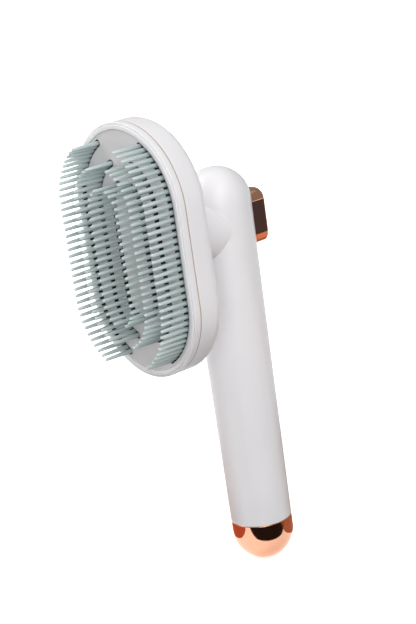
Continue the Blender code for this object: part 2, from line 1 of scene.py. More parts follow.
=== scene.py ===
"""Looks for the pet brush: fine meshes, procedural materials, studio light and the camera.

Everything is in metres in the frame's own axes: +Z up the handle, teeth towards -Y, button at +Y.
A depth is measured forward from the handle's axis, so a depth d lies at y = -d. An outline that
faces along Y is drawn as (across, up) points round the middle of the head.
"""

import math
import random

import bmesh
import bpy
from mathutils import Matrix, Vector


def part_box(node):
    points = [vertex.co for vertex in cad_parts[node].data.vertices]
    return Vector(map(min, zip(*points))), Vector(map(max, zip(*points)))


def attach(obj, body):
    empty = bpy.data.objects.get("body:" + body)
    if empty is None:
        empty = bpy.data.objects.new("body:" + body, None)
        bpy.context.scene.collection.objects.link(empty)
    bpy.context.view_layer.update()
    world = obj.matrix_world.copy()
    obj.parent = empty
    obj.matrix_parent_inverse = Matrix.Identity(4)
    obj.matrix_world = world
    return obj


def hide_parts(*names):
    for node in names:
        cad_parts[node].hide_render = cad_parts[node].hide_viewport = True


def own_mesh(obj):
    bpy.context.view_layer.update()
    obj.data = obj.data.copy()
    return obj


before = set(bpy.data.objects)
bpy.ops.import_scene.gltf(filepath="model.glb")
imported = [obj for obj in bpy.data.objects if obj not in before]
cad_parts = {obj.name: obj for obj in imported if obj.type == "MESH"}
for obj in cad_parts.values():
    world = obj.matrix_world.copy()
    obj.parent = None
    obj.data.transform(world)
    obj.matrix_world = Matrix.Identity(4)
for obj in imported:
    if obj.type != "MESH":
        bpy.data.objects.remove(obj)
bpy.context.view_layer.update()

MM = 0.001
FIXED = "brush_body"
MOVING = "push_off"


def depth_range(node):
    """The rear and front depth of a CAD node."""
    low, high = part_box(node)
    return -high.y, -low.y


# Driving dimensions, read from the frame
head_low, head_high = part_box("head_rear_shell")
HEAD_HEIGHT = (head_low.z + head_high.z) / 2
HEAD_HALF_WIDTH = (head_high.x - head_low.x) / 2
ARC_CENTRE = (head_high.z - head_low.z) / 2 - HEAD_HALF_WIDTH
HEAD_REAR = depth_range("head_rear_shell")[0]
TRIM_REAR, TRIM_FRONT = depth_range("trim_ring")
BEZEL_LIP_REAR, BEZEL_FRONT = depth_range("bezel_ring")
PLATE_REAR, PLATE_FRONT = depth_range("push_off_plate")
COMB_BASE_REAR, TOOTH_TIP = depth_range("comb_outer_right")
handle_low, handle_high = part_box("handle_front_shell")
HANDLE_TOP_RADIUS = handle_high.x
DOME_CENTRE = handle_high.z - HANDLE_TOP_RADIUS
NECK_FRONT = -handle_low.y
CAP_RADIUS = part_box("end_cap")[1].x
CAP_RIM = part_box("end_cap")[1].z
button_low, button_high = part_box("button_cap")

# The CAD's gap between touching pieces, and the finer one that shows as a parting line
CAD_GAP = 0.3 * MM
HAIRLINE = 0.04 * MM

# Sizes that the boxes don't show, the same as in the CAD
HANDLE_WALL = 2.0 * MM
NECK_RADIUS = 12.5 * MM
NECK_BORE = 9.6 * MM
NECK_WALL_REAR = 25.7 * MM
BUSH_HOLE_RADIUS = 5.5 * MM
SHELL_WALL = 1.2 * MM
HEAD_FLOOR = 31.2 * MM
HEAD_REAR_FILLET = 4.0 * MM
OPENING_HALF_WIDTH = 28.8 * MM
RETAINER_REAR = 33.3 * MM
CAP_FLAT_RADIUS = 3.0 * MM
CAP_WALL = 1.2 * MM
CAP_POST_RADIUS = 3.2 * MM
CAP_POST_TOP = 14.2 * MM
BUTTON_CORNER = 4.7 * MM
BUTTON_GAP = 0.4 * MM
PILOT_RADIUS = 1.3 * MM
ROD_HOLE_RADIUS = 4.0 * MM
POST_RADIUS = 2.2 * MM
POST_PILOT_FLOOR = 30.2 * MM
NECK_SCREW_SPOTS = [(x * MM, z * MM) for x in (-4.0, 4.0) for z in (-6.8, 6.8)]
RETAINER_SCREW_SPOTS = [(x * MM, z * MM) for x in (-21.2, 21.2) for z in (-12.0, 12.0)]
COMB_ROWS = (("outer", 26.4 * MM, 36), ("middle", 16.9 * MM, 30), ("inner", 8.4 * MM, 22))
TOOTH_PITCH = 2.64 * MM
COMB_BASE_FRONT = 33.0 * MM
COMB_BASE_HALF = 1.8 * MM
SLOT_HALF = 1.4 * MM

# The plate fills its opening closer than its CAD stand-in does
PLATE_HALF_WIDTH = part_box("push_off_plate")[1].x + 0.25 * MM


# ---------------------------------------------------------------- outlines

def soften(corners, steps):
    """A path of (a, b, fillet radius) with every marked corner turned into an arc."""
    points = []
    for before, here, after in zip(corners[-1:] + corners[:-1], corners, corners[1:] + corners[:1]):
        spot, radius = Vector(here[:2]), here[2]
        if radius == 0:
            points.append(tuple(spot))
            continue
        back = (Vector(before[:2]) - spot).normalized()
        ahead = (Vector(after[:2]) - spot).normalized()
        half = back.angle(ahead) / 2
        reach = radius / math.tan(half)
        centre = spot + (back + ahead).normalized() * (radius / math.sin(half))
        first = spot + back * reach - centre
        last = spot + ahead * reach - centre
        for step in range(steps + 1):
            swing = first.lerp(last, step / steps).normalized() * radius
            points.append(tuple(centre + swing))
    return points


def circle(radius, steps):
    """Points of a circle as (across, up) pairs."""
    angles = [2 * math.pi * step / steps for step in range(steps)]
    return [(radius * math.cos(angle), radius * math.sin(angle)) for angle in angles]


def stadium(half_width, steps=48):
    """The head's outline at a half width: two half circles joined by straight sides."""
    points = []
    for start, centre in ((0.0, ARC_CENTRE), (math.pi, -ARC_CENTRE)):
        for step in range(steps + 1):
            angle = start + math.pi * step / steps
            points.append((half_width * math.cos(angle), centre + half_width * math.sin(angle)))
    return points


def button_outline(inset, steps=10):
    """The button's rounded rectangle, moved inward by inset."""
    corner = BUTTON_CORNER - inset
    across = (button_high.x - button_low.x) / 2 - BUTTON_CORNER
    up = (button_high.z - button_low.z) / 2 - BUTTON_CORNER
    points = []
    for quarter, (side, end) in enumerate(((1, 1), (-1, 1), (-1, -1), (1, -1))):
        for step in range(steps + 1):
            angle = (quarter + step / steps) * math.pi / 2
            points.append((side * across + corner * math.cos(angle), end * up + corner * math.sin(angle)))
    return points


def row_point(radius, travel, sideways=0.0):
    """A point on a comb row; travel runs along it from mid height, sideways points outward."""
    over = abs(travel) - ARC_CENTRE
    if over <= 0:
        return radius + sideways, travel
    angle = over / radius
    rise = ARC_CENTRE + (radius + sideways) * math.sin(angle)
    return (radius + sideways) * math.cos(angle), math.copysign(rise, travel)


def row_heading(radius, travel):
    """The angle of a comb row's outward direction."""
    return math.copysign(max(abs(travel) - ARC_CENTRE, 0.0) / radius, travel)


def slot_outline(radius, half_length, half_width, side, steps=24):
    """The outline of the curved slot that a comb row comes through, with round ends."""
    bend = [ARC_CENTRE + (half_length - ARC_CENTRE) * step / steps for step in range(steps + 1)]
    stops = [-stop for stop in reversed(bend)] + bend
    points = [row_point(radius, stop, half_width) for stop in stops]
    points += slot_end(radius, half_length, half_width, 1)
    points += [row_point(radius, stop, -half_width) for stop in reversed(stops)]
    points += slot_end(radius, half_length, half_width, -1)
    return [(side * x, z) for x, z in points]


def slot_end(radius, half_length, half_width, end, steps=20):
    """The points strictly inside one round end of a slot."""
    centre_x, centre_z = row_point(radius, end * half_length)
    start = row_heading(radius, end * half_length) + (0.0 if end > 0 else math.pi)
    angles = [start + math.pi * step / steps for step in range(1, steps)]
    return [(centre_x + half_width * math.cos(a), centre_z + half_width * math.sin(a)) for a in angles]


# ---------------------------------------------------------------- meshes

def facing_y(outline, depth):
    """A ring of points across the Y axis at a depth."""
    return [Vector((x, -depth, HEAD_HEIGHT + z)) for x, z in outline]


def facing_z(outline, height):
    """A ring of points across the Z axis at a height."""
    return [Vector((x, y, height)) for x, y in outline]


def add_body(mesh, rings, closed=False):
    """Faces through rings of equal count: the end rings are capped, or joined when closed."""
    loops = [[mesh.verts.new(point) for point in ring] for ring in rings]
    pairs = list(zip(loops, loops[1:]))
    if closed:
        pairs.append((loops[-1], loops[0]))
    else:
        mesh.faces.new(loops[0])
        mesh.faces.new(loops[-1])
    for first, second in pairs:
        for here, there, over, back in zip(first, first[1:] + first[:1], second[1:] + second[:1], second):
            mesh.faces.new((here, there, over, back))


def smooth(data, sharp):
    """Smooth shading that keeps edges above an angle in degrees."""
    data.shade_smooth()
    data.set_sharp_from_angle(angle=math.radians(sharp))


def new_piece(name, mesh, material, sharp=35.0):
    """A smooth-shaded object from a bmesh."""
    bmesh.ops.recalc_face_normals(mesh, faces=mesh.faces)
    data = bpy.data.meshes.new(name)
    mesh.to_mesh(data)
    mesh.free()
    smooth(data, sharp)
    piece = bpy.data.objects.new(name, data)
    bpy.context.scene.collection.objects.link(piece)
    if material:
        data.materials.append(material)
    return piece


def ring_piece(name, rings, material, closed=False):
    """A smooth-shaded object from one set of rings."""
    mesh = bmesh.new()
    add_body(mesh, rings, closed)
    return new_piece(name, mesh, material)


def stadium_piece(name, path, material, closed):
    """A piece with the head's outline, from a path of (half width, depth) points."""
    rings = [facing_y(stadium(half_width), depth) for half_width, depth in path]
    return ring_piece(name, rings, material, closed)


def round_bars(name, spots, radius, low, high):
    """One tool object made of separate round bars along Y at (across, up) spots."""
    mesh = bmesh.new()
    for across, up in spots:
        outline = [(x + across, z + up) for x, z in circle(radius, 32)]
        add_body(mesh, [facing_y(outline, depth) for depth in (low, high)])
    return new_piece(name, mesh, None)


def combined(piece, tools, sharp):
    """Apply Boolean joins and cuts to a piece, and remove the tools."""
    for tool, operation in tools:
        modifier = piece.modifiers.new(tool.name, "BOOLEAN")
        modifier.operation = operation
        modifier.solver = "EXACT"
        modifier.object = tool
    graph = bpy.context.evaluated_depsgraph_get()
    made = bpy.data.meshes.new_from_object(piece.evaluated_get(graph))
    piece.modifiers.clear()
    piece.data = made
    for tool, _ in tools:
        bpy.data.objects.remove(tool, do_unlink=True)
    smooth(made, sharp)


def stand_for(piece, node, body):
    """Put a fine piece in the place of a CAD node."""
    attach(piece, body)
    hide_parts(node)


# ---------------------------------------------------------------- materials

def set_range(node, low, high, out_low, out_high):
    """Set the four limits of a Map Range node."""
    sockets = ("From Min", "From Max", "To Min", "To Max")
    for socket, number in zip(sockets, (low, high, out_low, out_high)):
        node.inputs[socket].default_value = number


class Surface:
    """A Principled material with short helpers for the nodes that vary it."""

    def __init__(self, name):
        self.material = bpy.data.materials.new(name)
        self.material.use_nodes = True
        self.nodes = self.material.node_tree.nodes
        self.links = self.material.node_tree.links
        self.shader = self.nodes["Principled BSDF"]
        self.place = self.nodes.new("ShaderNodeTexCoord").outputs["Object"]
        self.relief = None

    def set(self, socket, value):
        """Set one of the shader's own values."""
        self.shader.inputs[socket].default_value = value

    def along_y(self):
        """The place along Y, in metres."""
        split = self.nodes.new("ShaderNodeSeparateXYZ")
        self.links.new(self.place, split.inputs["Vector"])
        return split.outputs["Y"]

    def noise(self, scale, detail, stretch=(1.0, 1.0, 1.0)):
        """Noise in object space; scale is in features a metre, and a stretch under 1 draws it out."""
        mapping = self.nodes.new("ShaderNodeMapping")
        mapping.inputs["Scale"].default_value = stretch
        self.links.new(self.place, mapping.inputs["Vector"])
        texture = self.nodes.new("ShaderNodeTexNoise")
        texture.inputs["Scale"].default_value = scale
        texture.inputs["Detail"].default_value = detail
        self.links.new(mapping.outputs["Vector"], texture.inputs["Vector"])
        return texture.outputs["Fac"]

    def ramp(self, value, low, high, out_low, out_high):
        """A value squeezed from one range to another."""
        node = self.nodes.new("ShaderNodeMapRange")
        set_range(node, low, high, out_low, out_high)
        self.links.new(value, node.inputs["Value"])
        return node.outputs["Result"]

    def clouds(self, scale, detail):
        """Noise stretched to run from 0 to 1."""
        return self.ramp(self.noise(scale, detail), 0.3, 0.7, 0.0, 1.0)

    def mix(self, value, first, second):
        """A colour that runs from the first to the second; each is a colour or a socket."""
        node = self.nodes.new("ShaderNodeMix")
        node.data_type = "RGBA"
        for socket, colour in (("A", first), ("B", second)):
            if isinstance(colour, tuple):
                node.inputs[socket].default_value = (*colour, 1.0)
            else:
                self.links.new(colour, node.inputs[socket])
        self.links.new(value, node.inputs["Factor"])
        return node.outputs["Result"]

    def tint(self, value, first, second):
        """Base colour that runs between two colours."""
        self.links.new(self.mix(value, first, second), self.shader.inputs["Base Color"])

    def rough(self, noise, smoothest, roughest, spread=0.2):
        """Roughness that follows a noise over the spread to either side of its middle."""
        value = self.ramp(noise, 0.5 - spread, 0.5 + spread, smoothest, roughest)
        self.links.new(value, self.shader.inputs["Roughness"])

    def bump(self, noise, height, strength):
        """Fine relief on top of any before it; height is in metres."""
        node = self.nodes.new("ShaderNodeBump")
        node.inputs["Strength"].default_value = strength
        node.inputs["Distance"].default_value = height
        self.links.new(noise, node.inputs["Height"])
        if self.relief:
            self.links.new(self.relief, node.inputs["Normal"])
        self.relief = node.outputs["Normal"]
        self.links.new(self.relief, self.shader.inputs["Normal"])


def white_plastic():
    """White moulded plastic: satin gloss, a fine spark-eroded grain and faint flow marks."""
    surface = Surface("white_plastic_fine")
    surface.set("Specular IOR Level", 0.45)
    surface.tint(surface.clouds(45.0, 3.0), (0.845, 0.830, 0.845), (0.822, 0.808, 0.823))
    surface.rough(surface.noise(160.0, 4.0), 0.30, 0.40, 0.25)
    surface.bump(surface.noise(2600.0, 2.0), 0.012 * MM, 0.5)
    surface.bump(surface.noise(90.0, 1.0, (1.0, 1.0, 0.25)), 0.04 * MM, 0.3)
    return surface.material


def plate_plastic():
    """Pale warm grey matte plastic with a fine grain."""
    surface = Surface("plate_plastic_fine")
    surface.tint(surface.clouds(70.0, 3.0), (0.68, 0.66, 0.667), (0.65, 0.63, 0.637))
    surface.rough(surface.noise(240.0, 3.0), 0.46, 0.60, 0.25)
    surface.bump(surface.noise(3200.0, 2.0), 0.02 * MM, 0.6)
    return surface.material


def slot_wall_painted_shade():
    """Painted shade for the plate's slot walls: the same plastic, coloured near-black to stand for the
    shade down in the slots.
    """
    surface = Surface("slot_wall_shade_paint")
    surface.set("Roughness", 0.7)
    # Painted shade: near-black stands in for the shade in the slots; the walls are the plate's own plastic.
    surface.tint(surface.clouds(300.0, 2.0), (0.028, 0.027, 0.027), (0.036, 0.035, 0.035))
    surface.bump(surface.noise(3200.0, 2.0), 0.02 * MM, 0.6)
    return surface.material


def comb_plastic():
    """Grey-green flexible plastic, with a painted highlight that makes it paler towards the tips and
    painted shade that makes it near-black down in the slots.
    """
    surface = Surface("comb_plastic_painted_light")
    place = surface.along_y()
    # Painted highlight: the teeth get paler towards their tips, where light catches their rounded ends.
    tip_highlight_mask = surface.ramp(place, -TOOTH_TIP, -PLATE_FRONT, 1.0, 0.0)
    tooth_colour_with_highlight = surface.mix(tip_highlight_mask, (0.39, 0.47, 0.465), (0.61, 0.70, 0.695))
    # Painted shade: below the plate's front the teeth turn near-black, standing for the shade inside the
    # slots.
    within = surface.ramp(place, -PLATE_FRONT, -PLATE_FRONT + 1.2 * MM, 0.0, 1.0)
    surface.tint(within, tooth_colour_with_highlight, (0.008, 0.010, 0.010))
    surface.rough(surface.noise(500.0, 2.0), 0.30, 0.44)
    surface.bump(surface.noise(1500.0, 2.0, (1.0, 0.15, 1.0)), 0.02 * MM, 0.5)
    return surface.material


def rose_gold():
    """Mirror-polished rose gold plating with faint wipe marks."""
    surface = Surface("rose_gold_fine")
    surface.set("Base Color", (0.68, 0.365, 0.24, 1.0))
    surface.set("Metallic", 1.0)
    surface.rough(surface.noise(120.0, 5.0, (1.0, 1.0, 0.3)), 0.045, 0.10)
    surface.bump(surface.noise(60.0, 1.0), 0.03 * MM, 0.15)
    return surface.material


def trim_plastic():
    """The thin tan accent ring."""
    surface = Surface("trim_fine")
    surface.set("Base Color", (0.50, 0.41, 0.355, 1.0))
    surface.rough(surface.noise(300.0, 2.0), 0.34, 0.48)
    surface.bump(surface.noise(2000.0, 1.0), 0.01 * MM, 0.4)
    return surface.material


def dark_inner_plastic():
    """A near-black material for the hidden pieces inside."""
    surface = Surface("inner_plastic_fine")
    surface.set("Base Color", (0.05, 0.055, 0.055, 1.0))
    surface.rough(surface.noise(300.0, 3.0), 0.5, 0.7)
    surface.bump(surface.noise(2400.0, 2.0), 0.02 * MM, 0.6)
    return surface.material


def steel():
    """Bright steel with fine turning lines."""
    surface = Surface("steel_fine")
    surface.set("Base Color", (0.55, 0.56, 0.57, 1.0))
    surface.set("Metallic", 1.0)
    surface.rough(surface.noise(900.0, 3.0), 0.2, 0.36)
    surface.bump(surface.noise(4000.0, 1.0, (1.0, 0.2, 1.0)), 0.01 * MM, 0.5)
    return surface.material


# ---------------------------------------------------------------- handle

# Steps round a full turn, round a half shell's inside, and up the dome to just short of its pole.
# The seams are the faint parting line down both sides of the handle, and the parting round is the
# softened edge where the handle meets its foot cap.
ROUND_STEPS = 128
INNER_STEPS = 32
DOME_STEPS = 32
DOME_END = math.radians(89.2)
SEAM_HALF = 0.012 * MM
SEAM_CHAMFER = 0.03 * MM
PARTING_ROUND = 0.25 * MM

# The neck starts inside the handle and blends into it with a fillet that is widest above and below
NECK_START = 2.0 * MM
NECK_SUNK = 0.4 * MM
NECK_TOOL_WALL = 6.0 * MM
NECK_FILLET = 1.4 * MM
NECK_SIDE_FILLET = 0.02 * MM
NECK_EDGE = 0.3 * MM
NECK_EDGE_MIDDLE = 0.09 * MM

# Depths where the cutting tools start and end, clear of the walls that they cut through
BORE_REAR = -6.0 * MM
BUSH_HOLE_REAR = 20.0 * MM
PAST_NECK = 30.0 * MM
WINDOW_DEPTHS = (-4.0 * MM, -25.0 * MM)

# Where the screw's hole in the foot cap's post ends
CAP_PILOT_FLOOR = 4.0 * MM


def arc_angles(start, steps):
    """Angles from start to its mirror image past a quarter turn."""
    return [start + (math.pi - 2 * start) * step / steps for step in range(steps + 1)]


def half_tube(profile, front):
    """Rings of a half shell: each is an outer arc, a chamfered seam, an inner arc and a seam."""
    turn = math.pi if front else 0.0
    rings = []
    for (outer, outer_z), (inner, inner_z) in profile:
        # Near the dome's pole the rings are tiny, so the chamfer is kept within them
        seam = math.asin(min(SEAM_HALF / outer, 1.0))
        edge = math.asin(min((SEAM_HALF + SEAM_CHAMFER) / outer, 0.9))
        cut = outer - min(SEAM_CHAMFER, outer * 0.3)
        inner_seam = math.asin(min(SEAM_HALF / inner, 1.0))
        ring = [(cut, seam, outer_z)]
        ring += [(outer, angle, outer_z) for angle in arc_angles(edge, ROUND_STEPS // 2)]
        ring.append((cut, math.pi - seam, outer_z))
        ring += [(inner, angle, inner_z) for angle in reversed(arc_angles(inner_seam, INNER_STEPS))]
        rings.append([Vector((r * math.cos(a + turn), r * math.sin(a + turn), z)) for r, a, z in ring])
    return rings


def handle_profile():
    """Outer and inner (radius, height) pairs from the handle's foot to its domed top."""
    pairs = []
    foot = CAP_RIM + HAIRLINE
    for step in range(4):
        angle = math.pi / 2 * step / 3
        outer = CAP_RADIUS - PARTING_ROUND * (1 - math.sin(angle))
        height = foot + PARTING_ROUND * (1 - math.cos(angle))
        pairs.append(((outer, height), (CAP_RADIUS - HANDLE_WALL, foot)))
    for step in range(1, 9):
        share = step / 8
        outer = CAP_RADIUS + (HANDLE_TOP_RADIUS - CAP_RADIUS) * share
        height = foot + PARTING_ROUND + (DOME_CENTRE - foot - PARTING_ROUND) * share
        pairs.append(((outer, height), (outer - HANDLE_WALL, height)))
    inner_top = HANDLE_TOP_RADIUS - HANDLE_WALL
    for step in range(1, DOME_STEPS + 1):
        angle = DOME_END * step / DOME_STEPS
        outer = (HANDLE_TOP_RADIUS * math.cos(angle), DOME_CENTRE + HANDLE_TOP_RADIUS * math.sin(angle))
        inner = (inner_top * math.cos(angle), DOME_CENTRE + inner_top * math.sin(angle))
        pairs.append((outer, inner))
    return pairs


def neck_path(across, up, front):
    """(radius, depth) pairs of the neck's section in one direction, from inside the handle."""
    fillet = NECK_SIDE_FILLET + NECK_FILLET * up ** 2
    foot_across = (NECK_RADIUS + fillet) * across
    foot = math.sqrt(max(HANDLE_TOP_RADIUS ** 2 - foot_across ** 2, 0.0))
    path = [(NECK_RADIUS - NECK_TOOL_WALL, NECK_START), (NECK_RADIUS + fillet, foot - NECK_SUNK)]
    for step in range(7):
        swing = math.pi / 2 * step / 6
        rise = fillet * (1 - math.cos(swing))
        path.append((NECK_RADIUS + fillet * (1 - math.sin(swing)), foot + rise))
    path.append((NECK_RADIUS, front - NECK_EDGE))
    path.append((NECK_RADIUS - NECK_EDGE_MIDDLE, front - NECK_EDGE_MIDDLE))
    path.append((NECK_RADIUS - NECK_EDGE, front))
    path.append((NECK_RADIUS - NECK_TOOL_WALL, front))
    return path


def neck_sections():
    """Sections round the neck, one for each direction."""
    front = NECK_FRONT + CAD_GAP - HAIRLINE
    sections = []
    for across, up in circle(1.0, ROUND_STEPS):
        path = neck_path(across, up, front)
        sections.append([Vector((r * across, -depth, HEAD_HEIGHT + r * up)) for r, depth in path])
    return sections


def make_handle(white):
    """The two half shells; the front one carries the neck and the rear one the button's window."""
    profile = handle_profile()
    front = ring_piece("handle_front", half_tube(profile, True), white)
    neck = ring_piece("neck_tool", neck_sections(), white, True)
    bore = round_bars("bore_tool", [(0.0, 0.0)], NECK_BORE, BORE_REAR, NECK_WALL_REAR)
    bush_hole = round_bars("bush_hole_tool", [(0.0, 0.0)], BUSH_HOLE_RADIUS, BUSH_HOLE_REAR, PAST_NECK)
    pilots = round_bars("pilot_tool", NECK_SCREW_SPOTS, PILOT_RADIUS, NECK_WALL_REAR + CAD_GAP, PAST_NECK)
    tools = [(neck, "UNION"), (bore, "DIFFERENCE"), (bush_hole, "DIFFERENCE"), (pilots, "DIFFERENCE")]
    combined(front, tools, 25.0)
    stand_for(front, "handle_front_shell", FIXED)

    rear = ring_piece("handle_rear", half_tube(profile, False), white)
    window_rings = [facing_y(button_outline(-BUTTON_GAP), depth) for depth in WINDOW_DEPTHS]
    window = ring_piece("window_tool", window_rings, white)
    combined(rear, [(window, "DIFFERENCE")], 12.0)
    stand_for(rear, "handle_rear_shell", FIXED)


def make_end_cap(rose):
    """The domed foot cap."""
    centre = math.sqrt(CAP_RADIUS ** 2 - CAP_FLAT_RADIUS ** 2)
    flat_angle = math.asin(centre / CAP_RADIUS)
    path = []
    for step in range(28, -1, -1):
        angle = flat_angle * step / 28
        path.append((CAP_RADIUS * math.cos(angle), centre - CAP_RADIUS * math.sin(angle)))
    for step in range(5):
        angle = math.pi / 2 * step / 4
        inset = PARTING_ROUND * (1 - math.cos(angle))
        path.append((CAP_RADIUS - inset, CAP_RIM - PARTING_ROUND * (1 - math.sin(angle))))
    inner = CAP_RADIUS - CAP_WALL
    path.append((inner, CAP_RIM))
    post_angle = math.acos(CAP_POST_RADIUS / inner)
    for step in range(17):
        angle = post_angle * step / 16
        path.append((inner * math.cos(angle), centre - inner * math.sin(angle)))
    path += [(CAP_POST_RADIUS, CAP_POST_TOP), (PILOT_RADIUS, CAP_POST_TOP), (PILOT_RADIUS, CAP_PILOT_FLOOR)]
    rings = [facing_z(circle(radius, ROUND_STEPS), height) for radius, height in path]
    piece = ring_piece("foot_cap", rings, rose)
    stand_for(piece, "end_cap", FIXED)


# ---------------------------------------------------------------- head

# The rear shell: how far the outline runs in over its floor and its back, and its rounded corners
FLOOR_EDGE = 1.5 * MM
FLOOR_FILLET = 0.8 * MM
RIM_INNER_ROUND = 0.2 * MM
RIM_OUTER_ROUND = 0.25 * MM
BACK_EDGE = 0.5 * MM
TRIM_SUNK = 0.06 * MM

# The bezel's front, measured in from its outer side and down from its front
BEZEL_REAR_ROUND = 0.15 * MM
SHOULDER_ROUND = 0.45 * MM
SHOULDER_WIDTH = 0.62 * MM
SHOULDER_DROP = 0.40 * MM
GROOVE_DEPTH = 0.62 * MM
GROOVE_OUTER = 0.72 * MM
GROOVE_INNER = 0.92 * MM
GROOVE_ROUND = 0.05 * MM
GROOVE_LIP_ROUND = 0.06 * MM
LIP_START = 0.98 * MM
LIP_OUTER_ROUND = 0.3 * MM
LIP_INNER_ROUND = 0.5 * MM

# The plate's softened edges, the band that counts as its rim, and the distance that joins points
PLATE_EDGE = 0.15 * MM
PLATE_RIM_MARGIN = 0.5 * MM
WELD_DISTANCE = 0.002 * MM


def make_head_shell(white):
    """The open rear shell with a rounded back edge and a rolled rim."""
    rim = TRIM_REAR - HAIRLINE
    inner = HEAD_HALF_WIDTH - SHELL_WALL
    corners = [
        (inner - FLOOR_EDGE, HEAD_FLOOR, 0),
        (inner, HEAD_FLOOR, FLOOR_FILLET),
        (inner, rim, RIM_INNER_ROUND),
        (HEAD_HALF_WIDTH, rim, RIM_OUTER_ROUND),
        (HEAD_HALF_WIDTH, HEAD_REAR, HEAD_REAR_FILLET),
        (HEAD_HALF_WIDTH - HEAD_REAR_FILLET - BACK_EDGE, HEAD_REAR, 0),
    ]
    piece = stadium_piece("head_shell", soften(corners, 8), white, False)
    low, high = HEAD_REAR - MM, HEAD_FLOOR + MM
    post_top = RETAINER_REAR - CAD_GAP
    posts = round_bars("post_tool", RETAINER_SCREW_SPOTS, POST_RADIUS, HEAD_REAR + MM, post_top)
    pilots = round_bars("pilot_tool", RETAINER_SCREW_SPOTS, PILOT_RADIUS, POST_PILOT_FLOOR, post_top + MM)
    screws = round_bars("screw_tool", NECK_SCREW_SPOTS, PILOT_RADIUS, low, high)
    rod = round_bars("rod_tool", [(0.0, 0.0)], ROD_HOLE_RADIUS, low, high)
    tools = [(posts, "UNION"), (pilots, "DIFFERENCE"), (screws, "DIFFERENCE"), (rod, "DIFFERENCE")]
    combined(piece, tools, 35.0)
    stand_for(piece, "head_rear_shell", FIXED)


def make_trim(material):
    """The accent ring, set just below the shell's surface."""
    inner = HEAD_HALF_WIDTH - SHELL_WALL
    outer = HEAD_HALF_WIDTH - TRIM_SUNK
    path = [(outer, TRIM_REAR), (outer, TRIM_FRONT), (inner, TRIM_FRONT), (inner, TRIM_REAR)]
    piece = stadium_piece("accent_ring", path, material, True)
    stand_for(piece, "trim_ring", FIXED)


def make_bezel(white):
    """The stepped bezel: a rounded shoulder, a fine groove and a raised lip round the opening."""
    rear = TRIM_FRONT + HAIRLINE
    inner = HEAD_HALF_WIDTH - SHELL_WALL - CAD_GAP
    outer = HEAD_HALF_WIDTH
    corners = [
        (outer, rear, BEZEL_REAR_ROUND),
        (outer, BEZEL_FRONT - SHOULDER_ROUND, SHOULDER_ROUND),
        (outer - SHOULDER_WIDTH, BEZEL_FRONT - SHOULDER_DROP, GROOVE_LIP_ROUND),
        (outer - GROOVE_OUTER, BEZEL_FRONT - GROOVE_DEPTH, GROOVE_ROUND),
        (outer - GROOVE_INNER, BEZEL_FRONT - GROOVE_DEPTH, GROOVE_ROUND),
        (outer - LIP_START, BEZEL_FRONT, LIP_OUTER_ROUND),
        (OPENING_HALF_WIDTH, BEZEL_FRONT, LIP_INNER_ROUND),
        (OPENING_HALF_WIDTH, BEZEL_LIP_REAR, 0),
        (inner, BEZEL_LIP_REAR, 0),
        (inner, rear, 0),
    ]
    piece = stadium_piece("bezel", soften(corners, 6), white, True)
    stand_for(piece, "bezel_ring", FIXED)


def paint_slot_shade(piece, slot_shade):
    """Give the faces inside the slots, but not the plate's own rim, the near-black painted shade material.
    """
    piece.data.materials.append(slot_shade)
    for polygon in piece.data.polygons:
        over = max(abs(polygon.center.z - HEAD_HEIGHT) - ARC_CENTRE, 0.0)
        inside = math.hypot(polygon.center.x, over) < PLATE_HALF_WIDTH - PLATE_RIM_MARGIN
        if inside and abs(polygon.normal.y) < 0.5:
            polygon.material_index = 1


def plate_outlines():
    """The plate's own outline and its six slots."""
    outlines = [stadium(PLATE_HALF_WIDTH, 64)]
    for _, radius, count in COMB_ROWS:
        half_length = (count - 1) / 2 * TOOTH_PITCH
        outlines += [slot_outline(radius, half_length, SLOT_HALF, side) for side in (-1, 1)]
    return outlines


def make_plate(material, slot_shade):
    """The slotted push-off plate with softened edges, from a filled outline with holes."""
    curve = bpy.data.curves.new("plate_outline", "CURVE")
    curve.dimensions = "2D"
    curve.fill_mode = "BOTH"
    curve.extrude = (PLATE_FRONT - PLATE_REAR) / 2 - PLATE_EDGE
    curve.bevel_depth = PLATE_EDGE
    curve.bevel_resolution = 2
    curve.offset = -PLATE_EDGE
    for outline in plate_outlines():
        spline = curve.splines.new("POLY")
        spline.points.add(len(outline) - 1)
        spline.use_cyclic_u = True
        for point, (x, z) in zip(spline.points, outline):
            point.co = (x, z, 0.0, 1.0)
    drawn = bpy.data.objects.new("plate_outline", curve)
    bpy.context.scene.collection.objects.link(drawn)
    graph = bpy.context.evaluated_depsgraph_get()
    data = bpy.data.meshes.new_from_object(drawn.evaluated_get(graph))
    bpy.data.objects.remove(drawn, do_unlink=True)
    mesh = bmesh.new()
    mesh.from_mesh(data)
    bpy.data.meshes.remove(data)
    bmesh.ops.remove_doubles(mesh, verts=mesh.verts, dist=WELD_DISTANCE)
    # Stand the drawing up: its y becomes the height, and its z points forward, towards -Y
    middle = (PLATE_FRONT + PLATE_REAR) / 2
    mesh.transform(Matrix(((1, 0, 0, 0), (0, 0, -1, -middle), (0, 1, 0, HEAD_HEIGHT), (0, 0, 0, 1))))
    piece = new_piece("push_plate", mesh, material, 12.0)
    # The faces inside the slots take the painted shade.
    paint_slot_shade(piece, slot_shade)
    stand_for(piece, "push_off_plate", MOVING)


# ---------------------------------------------------------------- comb

# A tooth is let a little way into its base strip, and its tip ends in rings just short of the pole
TOOTH_SIDES = 14
TOOTH_ROOT_RADIUS = 1.18 * MM
TOOTH_END_RADIUS = 0.62 * MM
TOOTH_SUNK = 0.2 * MM
TOOTH_LEAN = 0.10 * MM
TIP_RINGS = 5
TIP_END = math.radians(82)


